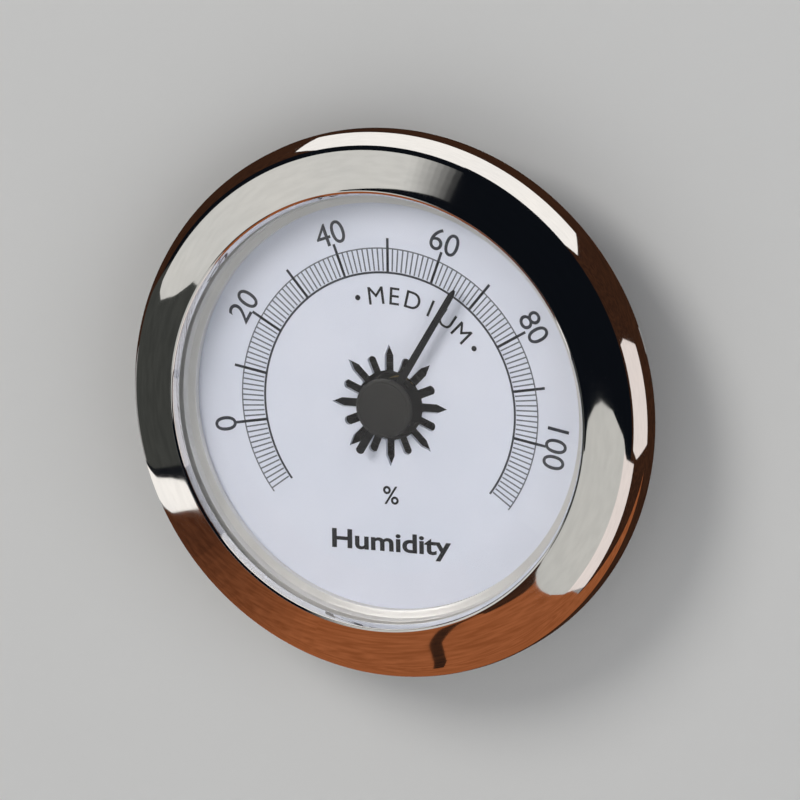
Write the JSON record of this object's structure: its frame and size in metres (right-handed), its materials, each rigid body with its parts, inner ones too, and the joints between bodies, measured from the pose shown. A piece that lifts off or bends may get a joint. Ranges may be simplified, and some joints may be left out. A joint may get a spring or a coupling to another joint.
{
  "type": "dial hygrometer",
  "caption": "Round dial hygrometer with a chromed bezel, a needle turned by a coiled strip, and a magnetic back plate for the inside of a lid.",
  "frame": {"origin": "centre of the adhesive pad's back face, the face that sticks to the lid", "axes": "+Y along the instrument's axis into the lid, so the dial faces -Y; +Z is the dial's 12 o'clock and +X its 3 o'clock"},
  "size_m": [0.05, 0.011, 0.05],
  "materials": {
    "chrome": "bright polished plating",
    "window": "clear, flat",
    "dial_white": "satin white enamel with dark grey printing",
    "silver_ring": "satin turned",
    "black_plastic": "fine moulded texture",
    "charcoal_plastic": "satin",
    "black_steel": "matt black",
    "bright_steel": "turned",
    "zinc_steel": "zinc plated",
    "ferrite": "ground ceramic",
    "brass": "turned",
    "blackened_brass": "chemically blackened, dull",
    "spring_bronze": "rolled strip",
    "coil_strip": "dark coated strip",
    "gasket_rubber": "pale silicone, matt",
    "foam": "white closed-cell foam"
  },
  "bodies": {
    "mount_plate": {"adhesive_pad": "foam", "steel_disc": "zinc_steel"},
    "case": {"rear_case": "black_plastic", "ring_magnet": "ferrite", "bezel": "chrome", "lens": "window", "lens_gasket": "gasket_rubber", "spacer_ring": "silver_ring", "dial": "dial_white", "movement_bridge": "black_steel", "bridge_screws": "bright_steel", "front_bush": "blackened_brass", "friction_washer": "spring_bronze"},
    "adjuster": {"calibration_screw": "brass", "coil_carrier": "blackened_brass", "coil_stud": "blackened_brass", "rear_bush": "brass", "humidity_coil": "coil_strip"},
    "needle": {"pointer": "black_steel", "pointer_hub": "charcoal_plastic", "pointer_arbor": "bright_steel", "coil_collet": "blackened_brass"}
  },
  "joints": [
    {"name": "lift_off", "type": "slide", "parent": "mount_plate", "child": "case", "axis": [0, -1, 0], "range_m": [0, 0.02]},
    {"name": "calibration", "type": "hinge", "parent": "case", "child": "adjuster", "pos_m": [0, -0.0039, 0], "axis": [0, 1, 0], "range_deg": [-35, 35]},
    {"name": "reading", "type": "hinge", "parent": "adjuster", "child": "needle", "pos_m": [0, -0.0066, 0], "axis": [0, 1, 0], "range_deg": [-131.4, 68.6], "stiffness_Nm_per_rad": 0.0001, "deforming": ["humidity_coil"]}
  ]
}
